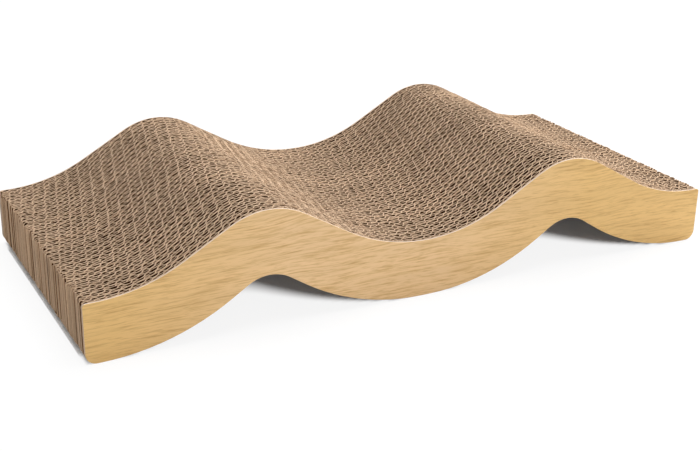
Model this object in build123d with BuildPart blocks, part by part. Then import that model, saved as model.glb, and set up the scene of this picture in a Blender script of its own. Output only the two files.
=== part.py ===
"""Wave-shaped cat scratcher: corrugated strips glued on edge between two side panels."""
import os
from math import atan2, cos, degrees, sin, sqrt, tan

from build123d import *

# Whole block in millimetres: X along the waves, Y across the strips, Z up from the floor
length = 430.0
wave_count = 2
end_land = 5.0
crest_height = 73.5
valley_height = 36.7
crest_radius = 45.5
top_slope_share = 0.77

# Underside: an arch below each crest, a foot below each valley and at both ends
arch_height = 33.4
arch_radius = 24.0
arch_slope_share = 0.90
foot_land = 2.0

# End corners, cut round with the rest of the outline
top_corner_radius = 2.0
bottom_corner_radius = 6.5

# Corrugated strips, flutes upright: one flat liner with a row of open channels behind it
strip_count = 35
strip_thickness = 5.5
liner_thickness = 0.7
channel_pitch = 19.0
channel_drift_share = 0.2
least_fold_share = 0.1
corner_station_shares = (0.0, 0.3, 1.0)

# Side panels of thin greyboard
panel_thickness = 1.2

# How far a shaping prism runs past the solid that it cuts
overrun = 5.0

# Sizes that follow from the ones above
width = strip_count * strip_thickness + 2 * panel_thickness
end = length / 2
wave_length = (length - 2 * end_land) / wave_count
foot_flat = 2 * max(foot_land, bottom_corner_radius + foot_land - end_land)
fold_step = channel_pitch / 2


class Wave:
    """A row of equal crests and hollows: arcs joined by straight flanks, with a flat in each hollow."""

    def __init__(self, crest, hollow, radius, slope_share, flat):
        run = (wave_length - flat) / 2
        rise = crest - hollow
        self.crest, self.hollow, self.radius, self.flat = crest, hollow, radius, flat
        self.slope = slope_share * 2 * atan2(rise, run)
        both_radii = (run * sin(self.slope) - rise * cos(self.slope)) / (1 - cos(self.slope))
        self.hollow_radius = both_radii - radius

    def height(self, x):
        """Height of the wave at x."""
        along = min(max(x + end - end_land, 0.0), wave_count * wave_length)
        from_crest = abs(along % wave_length - wave_length / 2)
        from_flat = max(0.0, (wave_length - self.flat) / 2 - from_crest)
        crest_reach = self.radius * sin(self.slope)
        if from_crest <= crest_reach:
            return self.crest - self.radius + sqrt(self.radius**2 - from_crest**2)
        if from_flat <= self.hollow_radius * sin(self.slope):
            return self.hollow + self.hollow_radius - sqrt(self.hollow_radius**2 - from_flat**2)
        crest_drop = self.radius * (1 - cos(self.slope))
        return self.crest - crest_drop - (from_crest - crest_reach) * tan(self.slope)

    def draw(self):
        """Draw the wave from one end of the block to the other."""
        turn = degrees(self.slope)
        hollow_centre = self.hollow + self.hollow_radius
        feet = []
        for index in range(wave_count):
            start = index * wave_length + end_land - end
            stop = start + wave_length
            rise = CenterArc((start + self.flat / 2, hollow_centre), self.hollow_radius, 270, turn)
            middle = ((start + stop) / 2, self.crest - self.radius)
            crown = CenterArc(middle, self.radius, 90 + turn, -2 * turn)
            fall = CenterArc((stop - self.flat / 2, hollow_centre), self.hollow_radius, 270 - turn, turn)
            Line(rise @ 1, crown @ 0)
            Line(crown @ 1, fall @ 0)
            feet += [rise @ 0, fall @ 1]
        edges = [Vector(-end, self.hollow), *feet, Vector(end, self.hollow)]
        for leave, reach in zip(edges[0::2], edges[1::2]):
            if leave != reach:
                Line(leave, reach)


top_wave = Wave(crest_height, valley_height, crest_radius, top_slope_share, 0.0)
underside = Wave(arch_height, 0.0, arch_radius, arch_slope_share, foot_flat)


def folds(index):
    """Places along X where the channels of one strip fold, each with its depth share, ends included."""
    drift = index * channel_drift_share * channel_pitch
    first = int(drift / fold_step)
    last = int((length + drift) / fold_step) + 1
    places = []
    for number in range(first, last + 1):
        x = number * fold_step - drift - end
        if abs(x) < end - least_fold_share * fold_step:
            places.append((x, number % 2))
    left, right = places[0], places[-1]
    left_share = abs(left[1] - (left[0] + end) / fold_step)
    right_share = abs(right[1] - (end - right[0]) / fold_step)
    return [(-end, left_share), *places, (end, right_share)]


def strip_plan(front, places):
    """Outline of one strip seen from above: the flat liner in front, the folds behind."""
    depth = strip_thickness - liner_thickness
    back = [(x, front + liner_thickness + share * depth) for x, share in places]
    return [(-end, front), (end, front), *reversed(back)]


def strip_side(places):
    """Outline of one strip seen from the side, with flat feet and round lower corners."""
    upper = [(x, top_wave.height(x)) for x, share in places]
    corner = []
    for share in corner_station_shares:
        rest = (1 - share) * bottom_corner_radius
        drop = sqrt(bottom_corner_radius**2 - rest**2)
        corner.append((end - share * bottom_corner_radius, bottom_corner_radius - drop))
    feet = [number * wave_length + end_land - end for number in range(wave_count + 1)]
    inner_places = [x for x, share in places if abs(x) < feet[-1]]
    clear_of_foot = foot_flat / 2 + least_fold_share * fold_step
    stations = [x for x in inner_places if min(abs(x - foot) for foot in feet) > clear_of_foot]
    for foot in feet[1:-1]:
        stations += [foot - foot_flat / 2, foot + foot_flat / 2]
    lower = [(x, underside.height(x)) for x in sorted(stations, reverse=True)]
    return [*upper, *corner, *lower, *[(-x, z) for x, z in reversed(corner)]]


def end_corners(outline, place):
    """The lowest (0) or the highest (-1) vertex at each end of a side outline."""
    columns = outline.vertices().group_by(Axis.X)
    return [columns[0].sort_by(Axis.Y)[place], columns[-1].sort_by(Axis.Y)[place]]


os.makedirs("parts", exist_ok=True)

# Corrugated strips, from the front of the block to the back
for index in range(strip_count):
    front = panel_thickness + index * strip_thickness - width / 2
    places = folds(index)
    with BuildPart() as strip:
        with BuildSketch(Plane.XY.offset(-overrun)):
            with BuildLine():
                Polyline(*strip_plan(front, places), close=True)
            make_face()
        extrude(amount=crest_height + 2 * overrun)
        with BuildSketch(Plane.XZ):
            with BuildLine():
                Polyline(*strip_side(places), close=True)
            make_face()
        extrude(amount=width, both=True, mode=Mode.INTERSECT)
    name = f"strip_{index + 1:02d}"
    strip.part.label = name
    export_step(strip.part, f"parts/{name}.step")

# Side panels, one glued to the first strip and one to the last
for name, rear_face in (
    ("front_side_panel", panel_thickness - width / 2),
    ("back_side_panel", width / 2),
):
    with BuildPart() as panel:
        with BuildSketch(Plane.XZ.offset(-rear_face)) as outline:
            with BuildLine():
                top_wave.draw()
                underside.draw()
                for x in (-end, end):
                    Line((x, 0), (x, valley_height))
            make_face()
            fillet(end_corners(outline, 0), bottom_corner_radius)
            fillet(end_corners(outline, -1), top_corner_radius)
        extrude(amount=panel_thickness)
    panel.part.label = name
    export_step(panel.part, f"parts/{name}.step")
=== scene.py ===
"""Wave-shaped cat scratcher of corrugated board with wood-grain side panels, in metres."""
from collections import namedtuple
from math import cos, pi, radians, sin

import bpy
import numpy as np
from mathutils import Matrix, Vector


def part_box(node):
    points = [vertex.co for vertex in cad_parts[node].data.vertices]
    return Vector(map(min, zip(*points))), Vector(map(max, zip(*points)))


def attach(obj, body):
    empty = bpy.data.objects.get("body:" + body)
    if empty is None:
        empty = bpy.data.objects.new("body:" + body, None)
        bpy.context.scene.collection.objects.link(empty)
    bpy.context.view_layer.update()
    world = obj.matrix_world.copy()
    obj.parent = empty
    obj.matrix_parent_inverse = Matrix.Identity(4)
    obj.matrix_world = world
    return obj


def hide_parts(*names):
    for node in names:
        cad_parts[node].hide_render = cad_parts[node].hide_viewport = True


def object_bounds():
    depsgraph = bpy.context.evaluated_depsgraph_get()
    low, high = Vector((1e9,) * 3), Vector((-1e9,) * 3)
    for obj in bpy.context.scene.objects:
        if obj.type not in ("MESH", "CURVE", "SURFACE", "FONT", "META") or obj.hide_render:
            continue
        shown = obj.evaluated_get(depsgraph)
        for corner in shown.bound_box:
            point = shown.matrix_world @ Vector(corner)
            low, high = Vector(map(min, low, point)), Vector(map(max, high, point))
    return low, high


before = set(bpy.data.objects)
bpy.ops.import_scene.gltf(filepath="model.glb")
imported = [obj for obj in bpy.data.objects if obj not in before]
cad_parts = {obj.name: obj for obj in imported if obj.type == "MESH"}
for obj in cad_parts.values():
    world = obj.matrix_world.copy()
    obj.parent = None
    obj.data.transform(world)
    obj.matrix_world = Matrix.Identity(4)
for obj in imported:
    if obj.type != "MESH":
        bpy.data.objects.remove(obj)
cad_low, cad_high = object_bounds()

# Camera, found by matching the block's outline to the photograph
IMAGE_WIDTH = 700
FOCAL_PIXELS = 1262.8
SENSOR_MM = 36.0
CAMERA_PLACE = (-0.3724, -0.7055, 0.3305)
CAMERA_YAW = radians(27.675)
CAMERA_PITCH = radians(21.847)
CAMERA_ROLL = radians(0.956)

# Papers of the double-wall board: three liners, with a fine and a coarse fluted paper between them
# A flute's shade scales its painted shade: below 1 the paper stays pale deeper below the cut edge
Flute = namedtuple("Flute", "pitch thickness shade")
LINER = 0.0003
FINE = Flute(pitch=0.00658, thickness=0.00045, shade=1.0)
COARSE = Flute(pitch=0.00775, thickness=0.0005, shade=0.9)
COARSE_CAVITY_SHARE = 0.58
FLUTE_STEEPNESS = 2.5
FLUTE_NARROWNESS = 0.15
POINTS_PER_FLUTE = 16
LINER_STEP = 0.0040

# How far the glued strips wander from true, and how far apart along the block each wandering turns
SEED = 11
STRIP_SHIFT = 0.0005
STRIP_RAISE = 0.0004
CUT_ROUGHNESS = 0.00016
CUT_STEPS = (0.0025, 0.03)
END_ROUGHNESS = 0.0012
FLUTE_DRIFT = 0.0014
DRIFT_WANDER = 0.0004
PHASE_WANDER = 0.25
PHASE_STEP = 0.05
CRUSH = 0.12
CRUSH_STEP = 0.02
LEAN_WANDER = 0.15
LEAN_STEP = 0.12

# Sideways bends of the rows of strips, as waves along the block that turn from front to back
Sway = namedtuple("Sway", "share length phase turn")
ROW_WANDER = 0.0005
SWAYS = (
    Sway(share=0.6, length=0.17, phase=1.3, turn=2.1),
    Sway(share=0.4, length=0.083, phase=0.0, turn=4.0),
)

# Side panels: pale board with printed paper on its outer face
PRINT = 0.0002
PANEL_COLUMN = 0.0012
EDGE_ROUND = 0.00012
LEAST_EDGE_SLOPE = 0.05
PLACE_DIGITS = 6

# Colour of a paper from a cut edge (0) to dark depth (1): the cut edge's own pale tone, then painted shade
# that darkens the paper below the edge
# The painted shade starts further in from the ends of the block and further down the slopes of a flute
PAINTED_SHADE_DEPTH = 0.0010
END_SHADE = 0.42
FLANK_LIGHT = 0.9
KRAFT_EDGE_AND_PAINTED_SHADE_TONES = (
    (0.0, (0.58, 0.415, 0.285)),
    (0.16, (0.52, 0.36, 0.23)),
    (0.25, (0.28, 0.14, 0.055)),
    (0.32, (0.05, 0.013, 0.001)),
    (0.90, (0.02, 0.005, 0.0003)),
)

# Noise in the materials: a stretch is features per metre along X, Y and Z
# A spread is the factor on the tone or depth at the low and the high end of the noise
NOISE_RANGE = (0.3, 0.7)
FIBRE_STRETCH = (1500.0, 1500.0, 700.0)
FIBRE_DEPTH_SPREAD = (0.85, 1.15)
FIBRE_TONE_SPREAD = (0.85, 1.12)
BLOTCH_STRETCH = (14.0, 60.0, 14.0)
BLOTCH_TONE_SPREAD = (0.88, 1.1)
PULP_STRETCH = (350.0, 2500.0, 350.0)
PULP_COLOURS = ((0.58, 0.46, 0.37), (0.70, 0.59, 0.49))

# Wood print: its tones by distance along the block from its palest place, and its layers of grain
Grain = namedtuple("Grain", "stretch detail roughness start full strength colour")
PRINT_TONES = ((0.73, 0.493, 0.258), (0.695, 0.448, 0.172))
PALEST_PLACE = -0.04
YELLOW_RANGE = (0.05, 0.16)
BAND_STRETCH = (9.0, 3.0, 90.0)
BAND_TONE_SPREAD = (0.95, 1.04)
GRAIN_DRIFT = 0.008
GRAIN_DRIFT_STRETCH = (7.0, 3.0, 18.0)
STREAKS = Grain(
    stretch=(50.0, 3.0, 900.0),
    detail=3.0,
    roughness=0.6,
    start=0.48,
    full=0.72,
    strength=0.9,
    colour=(0.50, 0.295, 0.098),
)
PORES = Grain(
    stretch=(110.0, 3.0, 1600.0),
    detail=2.0,
    roughness=0.55,
    start=0.55,
    full=0.75,
    strength=0.7,
    colour=(0.445, 0.255, 0.08),
)

# Floor: its glow in the open and deep below the block
# Reaches are depths below the block, in heights of the gap there, where daylight starts to fade and is gone
FLOOR_SIZE = 6.0
FLOOR_COLUMNS = 160
FLOOR_ROWS = 60
FLOOR_SEAM = 0.0003
LEAST_GAP = 0.0003
FLOOR_COLOUR = (0.92, 0.92, 0.92, 1.0)
FLOOR_GLOW = (0.88, 0.04)
LIT_REACH = 1.5
DARK_REACH = 2.4

# Studio light
Lamp = namedtuple("Lamp", "name place size watts")
WHITE = (1.0, 1.0, 1.0, 1.0)
AMBIENT = 0.3
LAMPS = (
    Lamp("overhead", place=(0.1, 0.0, 1.7), size=1.4, watts=28.5),
    Lamp("rim", place=(1.5, 0.6, 0.6), size=0.8, watts=43.0),
    Lamp("fill", place=(-0.2, -1.6, 0.9), size=1.2, watts=6.6),
)


# Wave outline of the block, read from the front side panel of the frame
def wave_chain(node, way):
    """Places x and heights z along the upper (+1) or lower (-1) edge of a side panel."""
    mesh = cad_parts[node].data
    heights = {}
    for polygon in mesh.polygons:
        if polygon.normal.z * way > LEAST_EDGE_SLOPE:
            for index in polygon.vertices:
                point = mesh.vertices[index].co
                heights[round(point.x, PLACE_DIGITS)] = point.z
    places = sorted(heights)
    return np.array(places), np.array([heights[x] for x in places])


UPPER = wave_chain("front_side_panel", 1)
LOWER = wave_chain("front_side_panel", -1)


def upper(x):
    """Height of the top of the block at places x."""
    return np.interp(x, *UPPER)


def lower(x):
    """Height of the underside of the block at places x."""
    return np.interp(x, *LOWER)


# Material helpers
def new_material(name, roughness, specular):
    """A material, its node tree and its shader."""
    material = bpy.data.materials.new(name)
    material.use_nodes = True
    shader = material.node_tree.nodes["Principled BSDF"]
    shader.inputs["Roughness"].default_value = roughness
    shader.inputs["Specular IOR Level"].default_value = specular
    return material, material.node_tree, shader


def add_node(tree, kind, **values):
    """A node with its properties and input values set by name."""
    node = tree.nodes.new(kind)
    for key, value in values.items():
        if key in node.inputs:
            node.inputs[key].default_value = value
        else:
            setattr(node, key, value)
    return node


def calculate(tree, operation, *terms):
    """A sum, product or the like of number sockets and plain numbers."""
    node = add_node(tree, "ShaderNodeMath", operation=operation)
    for term, socket in zip(terms, node.inputs):
        if isinstance(term, float):
            socket.default_value = term
        else:
            tree.links.new(term, socket)
    return node.outputs["Value"]


def split_axes(tree, vector):
    """The outputs X, Y and Z of a vector socket."""
    node = add_node(tree, "ShaderNodeSeparateXYZ")
    tree.links.new(vector, node.inputs["Vector"])
    return node.outputs


def object_place(tree):
    """The place on a piece in its own metres."""
    return add_node(tree, "ShaderNodeTexCoord").outputs["Object"]


def stretched_noise(tree, vector, stretch, detail, roughness=0.55):
    """Noise whose features are 1 / stretch metres along each axis."""
    mapping = add_node(tree, "ShaderNodeMapping", Scale=stretch)
    noise = add_node(tree, "ShaderNodeTexNoise", Scale=1.0, Detail=detail, Roughness=roughness)
    tree.links.new(vector, mapping.inputs["Vector"])
    tree.links.new(mapping.outputs["Vector"], noise.inputs["Vector"])
    return noise.outputs["Fac"]


def ramp(tree, factor, low, high, low_value=0.0, high_value=1.0):
    """factor from low to high, spread over low_value to high_value."""
    node = add_node(tree, "ShaderNodeMapRange")
    node.inputs["From Min"].default_value = low
    node.inputs["From Max"].default_value = high
    node.inputs["To Min"].default_value = low_value
    node.inputs["To Max"].default_value = high_value
    tree.links.new(factor, node.inputs["Value"])
    return node.outputs["Result"]


def mix_colour(tree, factor, first, second):
    """Mix two colours, each a socket or a plain colour."""
    node = add_node(tree, "ShaderNodeMix", data_type="RGBA")
    tree.links.new(factor, node.inputs["Factor"])
    for name, colour in (("A", first), ("B", second)):
        socket = [s for s in node.inputs if s.name == name and s.type == "RGBA"][0]
        if isinstance(colour, tuple):
            socket.default_value = (*colour, 1.0)
        else:
            tree.links.new(colour, socket)
    return [s for s in node.outputs if s.type == "RGBA"][0]


def multiply(tree, colour, factor):
    """A colour socket made lighter or darker by a factor socket."""
    node = add_node(tree, "ShaderNodeVectorMath", operation="SCALE")
    tree.links.new(colour, node.inputs["Vector"])
    tree.links.new(factor, node.inputs["Scale"])
    return node.outputs["Vector"]


def add_bump(tree, shader, height, strength, distance):
    """Give a shader fine relief from a height socket."""
    bump = add_node(tree, "ShaderNodeBump", Strength=strength, Distance=distance)
    tree.links.new(height, bump.inputs["Height"])
    tree.links.new(bump.outputs["Normal"], shader.inputs["Normal"])


# Kraft paper: pale fibrous cut edges, with painted shade that turns each flute dark brown within a few
# millimetres below them
def kraft_material():
    material, tree, shader = new_material("kraft_board", roughness=0.95, specular=0.0)
    place = object_place(tree)
    attribute = add_node(tree, "ShaderNodeAttribute", attribute_name="cut_distance")
    distances = split_axes(tree, attribute.outputs["Vector"])
    nearest = distances["X"]
    for axis in ("Y", "Z"):
        nearest = calculate(tree, "MINIMUM", nearest, distances[axis])
    fibres = stretched_noise(tree, place, FIBRE_STRETCH, detail=3.0, roughness=0.7)
    ragged = ramp(tree, fibres, *NOISE_RANGE, *FIBRE_DEPTH_SPREAD)
    # Painted shade: the colour darkens with the distance below the nearest cut edge
    depth = calculate(tree, "MULTIPLY", ragged, ramp(tree, nearest, 0.0, PAINTED_SHADE_DEPTH))
    tones = add_node(tree, "ShaderNodeValToRGB")
    stops = tones.color_ramp.elements
    stops.remove(stops[1])
    stops[0].position = KRAFT_EDGE_AND_PAINTED_SHADE_TONES[0][0]
    stops[0].color = (*KRAFT_EDGE_AND_PAINTED_SHADE_TONES[0][1], 1.0)
    for position, colour in KRAFT_EDGE_AND_PAINTED_SHADE_TONES[1:]:
        stops.new(position).color = (*colour, 1.0)
    tree.links.new(depth, tones.inputs["Fac"])
    blotches = stretched_noise(tree, place, BLOTCH_STRETCH, detail=3.0)
    patchy = multiply(tree, tones.outputs["Color"], ramp(tree, blotches, *NOISE_RANGE, *BLOTCH_TONE_SPREAD))
    colour = multiply(tree, patchy, ramp(tree, fibres, *NOISE_RANGE, *FIBRE_TONE_SPREAD))
    tree.links.new(colour, shader.inputs["Base Color"])
    add_bump(tree, shader, fibres, strength=0.35, distance=0.0002)
    return material


# Printed paper: pale wood with fine short grain along the block, yellower towards its ends
def grain_layer(tree, place, colour, grain):
    """A colour with a layer of grain over it, and the noise that shapes the grain."""
    noise = stretched_noise(tree, place, grain.stretch, grain.detail, grain.roughness)
    factor = ramp(tree, noise, grain.start, grain.full, 0.0, grain.strength)
    return mix_colour(tree, factor, colour, grain.colour), noise


def wood_print_material():
    material, tree, shader = new_material("wood_print", roughness=0.5, specular=0.3)
    place = object_place(tree)
    drift = stretched_noise(tree, place, GRAIN_DRIFT_STRETCH, detail=2.0)
    lift = add_node(tree, "ShaderNodeCombineXYZ")
    tree.links.new(ramp(tree, drift, 0.0, 1.0, -GRAIN_DRIFT, GRAIN_DRIFT), lift.inputs["Z"])
    warped = add_node(tree, "ShaderNodeVectorMath", operation="ADD")
    tree.links.new(place, warped.inputs[0])
    tree.links.new(lift.outputs["Vector"], warped.inputs[1])
    along = warped.outputs["Vector"]
    offset = calculate(tree, "ADD", split_axes(tree, place)["X"], -PALEST_PLACE)
    yellower = ramp(tree, calculate(tree, "ABSOLUTE", offset), *YELLOW_RANGE)
    tone = mix_colour(tree, yellower, *PRINT_TONES)
    bands = stretched_noise(tree, along, BAND_STRETCH, detail=3.0)
    banded = multiply(tree, tone, ramp(tree, bands, *NOISE_RANGE, *BAND_TONE_SPREAD))
    streaked, streaks = grain_layer(tree, along, banded, STREAKS)
    colour = grain_layer(tree, along, streaked, PORES)[0]
    tree.links.new(colour, shader.inputs["Base Color"])
    add_bump(tree, shader, streaks, strength=0.08, distance=0.0003)
    return material


# Cut edge of the side panel's board: pale, slightly pink pulp
def core_material():
    material, tree, shader = new_material("panel_core", roughness=0.9, specular=0.1)
    pulp = stretched_noise(tree, object_place(tree), PULP_STRETCH, detail=4.0, roughness=0.65)
    colour = mix_colour(tree, ramp(tree, pulp, *NOISE_RANGE), *PULP_COLOURS)
    tree.links.new(colour, shader.inputs["Base Color"])
    add_bump(tree, shader, pulp, strength=0.3, distance=0.0002)
    return material


# Meshes
def add_piece(name, vertices, faces, smooth, material, slot, *nodes, cut_distances=None):
    """A piece of the block made from vertex and face arrays."""
    mesh = bpy.data.meshes.new(name)
    mesh.from_pydata(vertices.tolist(), [], faces.tolist())
    mesh.polygons.foreach_set("use_smooth", smooth)
    if cut_distances is not None:
        attribute = mesh.attributes.new("cut_distance", "FLOAT_VECTOR", "POINT")
        attribute.data.foreach_set("vector", cut_distances.ravel())
    mesh.materials.append(material)
    mesh.update()
    piece = bpy.data.objects.new(name, mesh)
    bpy.context.scene.collection.objects.link(piece)
    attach(piece, "root")
    if nodes:
        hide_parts(*nodes)


def slow_noise(generator, x, step, size):
    """Smoothly varying random offsets at places x, with knots step apart."""
    knots = np.arange(x[0] - step, x[-1] + 2 * step, step)
    return np.interp(x, knots, generator.uniform(-size, size, len(knots)))


# Corrugated strips
def paper(generator, x, y, thickness, shade, lift):
    """Vertices, cut distances, faces and smoothness of an upright paper on plan line x, y."""
    along = np.stack([np.gradient(x), np.gradient(y)], axis=1)
    along /= np.linalg.norm(along, axis=1)[:, None]
    aside_x = -along[:, 1] * thickness / 2
    aside_y = along[:, 0] * thickness / 2
    ragged = sum(slow_noise(generator, x, step, CUT_ROUGHNESS) for step in CUT_STEPS)
    high = upper(x) + lift + ragged
    low = lower(x) + lift + np.abs(ragged)
    rims = [
        np.stack([x - aside_x, y - aside_y, low], axis=1),
        np.stack([x - aside_x, y - aside_y, high], axis=1),
        np.stack([x + aside_x, y + aside_y, high], axis=1),
        np.stack([x + aside_x, y + aside_y, low], axis=1),
    ]
    # Distances for the painted shade, shortened near the paper's ends, on the slopes of a flute and by the
    # paper's shade factor, so the painted shade starts deeper there
    end = END_SHADE * np.minimum(x - x[0], x[-1] - x)
    tall = shade * (1 - FLANK_LIGHT * np.abs(along[:, 1])) * (high - low)
    low_distance = np.stack([tall, 0 * tall, end], axis=1)
    high_distance = np.stack([0 * tall, tall, end], axis=1)
    rim_distances = [low_distance, high_distance, high_distance, low_distance]
    count = len(x)
    first = np.arange(count - 1)
    sides = len(rims)
    vertices, distances, faces, smooth = [], [], [], []
    for side in range(sides):
        following = (side + 1) % sides
        vertices += [rims[side], rims[following]]
        distances += [rim_distances[side], rim_distances[following]]
        a = 2 * side * count + first
        b = a + count
        faces.append(np.stack([a, a + 1, b + 1, b], axis=1))
        smooth.append(np.full(count - 1, side % 2 == 0))
    corners = np.arange(0, 2 * sides, 2) * count
    faces.append(np.stack([corners, corners[::-1] + count - 1]))
    smooth.append(np.full(2, False))
    return [np.concatenate(part) for part in (vertices, distances, faces, smooth)]


def flute_line(generator, start, stop, middle, cavity, flute, drift):
    """Plan line of a fluted paper between two liners, its crests narrower than its troughs."""
    count = int((stop - start) / flute.pitch * POINTS_PER_FLUTE)
    x = np.linspace(start, stop, count)
    turn = 2 * pi * (x - drift) / flute.pitch
    turn += slow_noise(generator, x, PHASE_STEP, PHASE_WANDER)
    rise = np.tanh(FLUTE_STEEPNESS * (np.sin(turn) - FLUTE_NARROWNESS))
    crush = 1 - np.abs(slow_noise(generator, x, CRUSH_STEP, CRUSH))
    y = rise * crush * (cavity - flute.thickness) / 2
    lean = slow_noise(generator, x, LEAN_STEP, LEAN_WANDER)
    return x + y * lean, middle + y


def wander(vertices):
    """Rows of strips bend a little sideways, least beside the flat side panels."""
    x, y = vertices[:, 0], vertices[:, 1]
    across = y / cad_high.y
    bend = 0
    for sway in SWAYS:
        angle = 2 * pi * x / sway.length + sway.phase + sway.turn * across
        bend = bend + sway.share * np.sin(angle)
    vertices[:, 1] += ROW_WANDER * (1 - across**2) * bend
    return vertices


def paper_ends(generator, shift):
    """First and last place along X of one paper."""
    start = cad_low.x + shift + generator.uniform(0, END_ROUGHNESS)
    stop = cad_high.x + shift - generator.uniform(0, END_ROUGHNESS)
    return start, stop


def build_strip(node, number, material):
    """One strip of the block: liners and fluted papers cut to the wave."""
    generator = np.random.default_rng(SEED + number)
    low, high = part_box(node)
    shift = generator.uniform(-STRIP_SHIFT, STRIP_SHIFT)
    lift = generator.uniform(0, STRIP_RAISE)
    cavities = high.y - low.y - 3 * LINER
    coarse = cavities * COARSE_CAVITY_SHARE
    fine = cavities - coarse
    papers = []
    for y in (low.y + LINER / 2, low.y + 1.5 * LINER + fine, high.y - LINER / 2):
        start, stop = paper_ends(generator, shift)
        x = np.linspace(start, stop, int((stop - start) / LINER_STEP))
        papers.append(paper(generator, x, np.full(len(x), y), LINER, 1.0, lift))
    coarse_drift = number * FLUTE_DRIFT + generator.uniform(-DRIFT_WANDER, DRIFT_WANDER)
    fine_drift = generator.uniform(0, FINE.pitch)
    for flute, middle, cavity, drift in (
        (COARSE, high.y - LINER - coarse / 2, coarse, coarse_drift),
        (FINE, low.y + LINER + fine / 2, fine, fine_drift),
    ):
        start, stop = paper_ends(generator, shift)
        x, y = flute_line(generator, start, stop, middle, cavity, flute, drift)
        papers.append(paper(generator, x, y, flute.thickness, flute.shade, lift))
    offset = 0
    for part in papers:
        part[2] += offset
        offset += len(part[0])
    vertices, distances, faces, smooth = [np.concatenate(parts) for parts in zip(*papers)]
    name = node.replace("strip", "corrugated_strip")
    add_piece(
        name, wander(vertices), faces, smooth, material, "corrugated_board", node, cut_distances=distances
    )


# Side panels
def panel_plate(name, inner, outer, inset, material, slot, *nodes):
    """A plate with the wave outline between two y places, its outer rim rounded over by inset."""
    columns = int((cad_high.x - cad_low.x) / PANEL_COLUMN)
    even_x = np.linspace(cad_low.x, cad_high.x, columns)
    x = np.unique(np.concatenate([even_x, LOWER[0], UPPER[0]]).round(PLACE_DIGITS))
    chains = []
    way = 1 if outer > inner else -1
    for y, shrink in ((inner, 0.0), (outer - way * inset, 0.0), (outer, inset)):
        span = x * (1 - shrink / cad_high.x)
        for z in (upper(x) - shrink, lower(x) + shrink):
            chains.append(np.stack([span, np.full(len(x), y), z], axis=1))
    count = len(x)
    first = np.arange(count - 1)
    faces, smooth = [], []

    def bridge(a, b, flip, soft):
        """Faces between two chains of vertices that start at a and b."""
        quad = np.stack([a + first, a + first + 1, b + first + 1, b + first], axis=1)
        faces.append(quad[:, ::-1] if flip else quad)
        smooth.append(np.full(count - 1, soft))

    tops = [0, 2 * count, 4 * count]
    bottoms = [count, 3 * count, 5 * count]
    flip = way > 0
    bridge(bottoms[0], tops[0], not flip, False)
    bridge(bottoms[2], tops[2], flip, False)
    for near, far in ((0, 1), (1, 2)):
        bridge(tops[near], tops[far], not flip, near > 0)
        bridge(bottoms[near], bottoms[far], flip, near > 0)
        for column, turned in ((0, not flip), (count - 1, flip)):
            quad = [tops[near] + column, tops[far] + column, bottoms[far] + column, bottoms[near] + column]
            faces.append(np.array([quad[::-1] if turned else quad]))
            smooth.append(np.array([False]))
    vertices = np.concatenate(chains)
    add_piece(name, vertices, np.concatenate(faces), np.concatenate(smooth), material, slot, *nodes)


def build_panel(node, core, print_paper):
    """One side panel: the board, and the printed paper on its outer face."""
    low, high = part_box(node)
    inner, outer = (high.y, low.y) if low.y < 0 else (low.y, high.y)
    way = 1 if outer > inner else -1
    joint = outer - way * PRINT
    side = node.replace("_side_panel", "")
    panel_plate(f"{side}_panel_core", inner, joint, EDGE_ROUND, core, "wood_print_board", node)
    panel_plate(f"{side}_wood_print", joint, outer, EDGE_ROUND, print_paper, "wood_print_board")


# Studio: white floor and background, soft light from above, from the right and in front
def seen_directly(tree):
    """1 on rays that show a surface to the camera, straight or through gloss or glass, and 0 on others."""
    light_path = add_node(tree, "ShaderNodeLightPath")
    seen = light_path.outputs["Is Camera Ray"]
    for kind in ("Is Glossy Ray", "Is Transmission Ray"):
        seen = calculate(tree, "MAXIMUM", seen, light_path.outputs[kind])
    return seen


def floor_grid():
    """Vertices, faces and cover of the floor: cover is 1 deep below the block, where no light comes in."""
    inner_x = np.linspace(cad_low.x, cad_high.x, FLOOR_COLUMNS)
    inner_y = np.linspace(cad_low.y, cad_high.y, FLOOR_ROWS)
    margin = np.array([FLOOR_SIZE, cad_high.x + FLOOR_SEAM])
    x = np.concatenate([-margin, inner_x, margin[::-1]])
    y = np.concatenate([[-FLOOR_SIZE], inner_y, [FLOOR_SIZE]])
    far_x, far_y = np.meshgrid(x, y)
    depth = np.maximum(cad_high.y - np.abs(far_y), 0)
    reach = depth / (lower(far_x) + LEAST_GAP)
    cover = np.clip((reach - LIT_REACH) / (DARK_REACH - LIT_REACH), 0, 1)
    cover[np.abs(far_x) > cad_high.x] = 0
    vertices = np.stack([far_x.ravel(), far_y.ravel(), np.zeros(far_x.size)], axis=1)
    corner = np.arange(far_x.size).reshape(far_x.shape)
    faces = np.stack([corner[:-1, :-1], corner[:-1, 1:], corner[1:, 1:], corner[1:, :-1]], axis=-1)
    return vertices, faces.reshape(-1, 4), cover.ravel()


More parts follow.
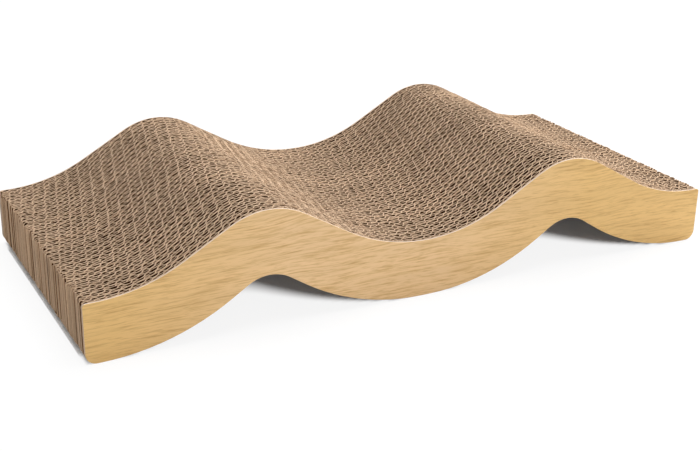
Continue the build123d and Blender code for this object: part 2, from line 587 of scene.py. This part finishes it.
def build_floor():
    """White floor that takes shadows and stays dark deep below the block."""
    vertices, faces, cover = floor_grid()
    mesh = bpy.data.meshes.new("floor")
    mesh.from_pydata(vertices.tolist(), [], faces.tolist())
    mesh.attributes.new("cover", "FLOAT", "POINT").data.foreach_set("value", cover)
    floor = bpy.data.objects.new("floor", mesh)
    bpy.context.scene.collection.objects.link(floor)
    material = bpy.data.materials.new("floor_white")
    material.use_nodes = True
    tree = material.node_tree
    tree.nodes.clear()
    covered = add_node(tree, "ShaderNodeAttribute", attribute_name="cover").outputs["Fac"]
    share = calculate(tree, "MULTIPLY", seen_directly(tree), ramp(tree, covered, 0.0, 1.0, *FLOOR_GLOW))
    diffuse = add_node(tree, "ShaderNodeBsdfDiffuse", Color=FLOOR_COLOUR)
    glow = add_node(tree, "ShaderNodeEmission", Color=WHITE, Strength=1.0)
    both = add_node(tree, "ShaderNodeMixShader")
    output = add_node(tree, "ShaderNodeOutputMaterial")
    tree.links.new(share, both.inputs["Fac"])
    tree.links.new(diffuse.outputs["BSDF"], both.inputs[1])
    tree.links.new(glow.outputs["Emission"], both.inputs[2])
    tree.links.new(both.outputs["Shader"], output.inputs["Surface"])
    mesh.materials.append(material)


def build_world():
    """Background that is white to the camera and lights the block at the ambient level."""
    world = bpy.data.worlds.new("studio")
    bpy.context.scene.world = world
    world.use_nodes = True
    tree = world.node_tree
    background = tree.nodes["Background"]
    background.inputs["Color"].default_value = WHITE
    strength = ramp(tree, seen_directly(tree), 0.0, 1.0, AMBIENT, 1.0)
    tree.links.new(strength, background.inputs["Strength"])


def add_lamp(lamp):
    """A square lamp that points at the middle of the block's foot."""
    data = bpy.data.lights.new(lamp.name, "AREA")
    data.energy = lamp.watts
    data.size = lamp.size
    piece = bpy.data.objects.new(lamp.name, data)
    piece.location = lamp.place
    aim = Vector((0, 0, 0)) - Vector(lamp.place)
    piece.rotation_euler = aim.to_track_quat("-Z", "Y").to_euler()
    bpy.context.scene.collection.objects.link(piece)


def add_camera():
    """Camera at the photograph's place and angle."""
    data = bpy.data.cameras.new("camera")
    data.sensor_width = SENSOR_MM
    data.lens = FOCAL_PIXELS * SENSOR_MM / IMAGE_WIDTH
    camera = bpy.data.objects.new("camera", data)
    level = cos(CAMERA_PITCH)
    right = Vector((cos(CAMERA_YAW), -sin(CAMERA_YAW), 0))
    forward = Vector((sin(CAMERA_YAW) * level, cos(CAMERA_YAW) * level, -sin(CAMERA_PITCH)))
    up = right.cross(forward)
    tilted_right = cos(CAMERA_ROLL) * right + sin(CAMERA_ROLL) * up
    tilted_up = cos(CAMERA_ROLL) * up - sin(CAMERA_ROLL) * right
    turn = Matrix((tilted_right, tilted_up, -forward)).transposed()
    camera.matrix_world = Matrix.Translation(CAMERA_PLACE) @ turn.to_4x4()
    bpy.context.scene.collection.objects.link(camera)
    bpy.context.scene.camera = camera


kraft = kraft_material()
strip_nodes = sorted(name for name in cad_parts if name.startswith("strip_"))
for number, strip_node in enumerate(strip_nodes):
    build_strip(strip_node, number, kraft)
core_finish = core_material()
print_finish = wood_print_material()
for panel_node in ("front_side_panel", "back_side_panel"):
    build_panel(panel_node, core_finish, print_finish)

build_floor()
build_world()
for lamp in LAMPS:
    add_lamp(lamp)
add_camera()
bpy.context.scene.view_settings.view_transform = "Standard"
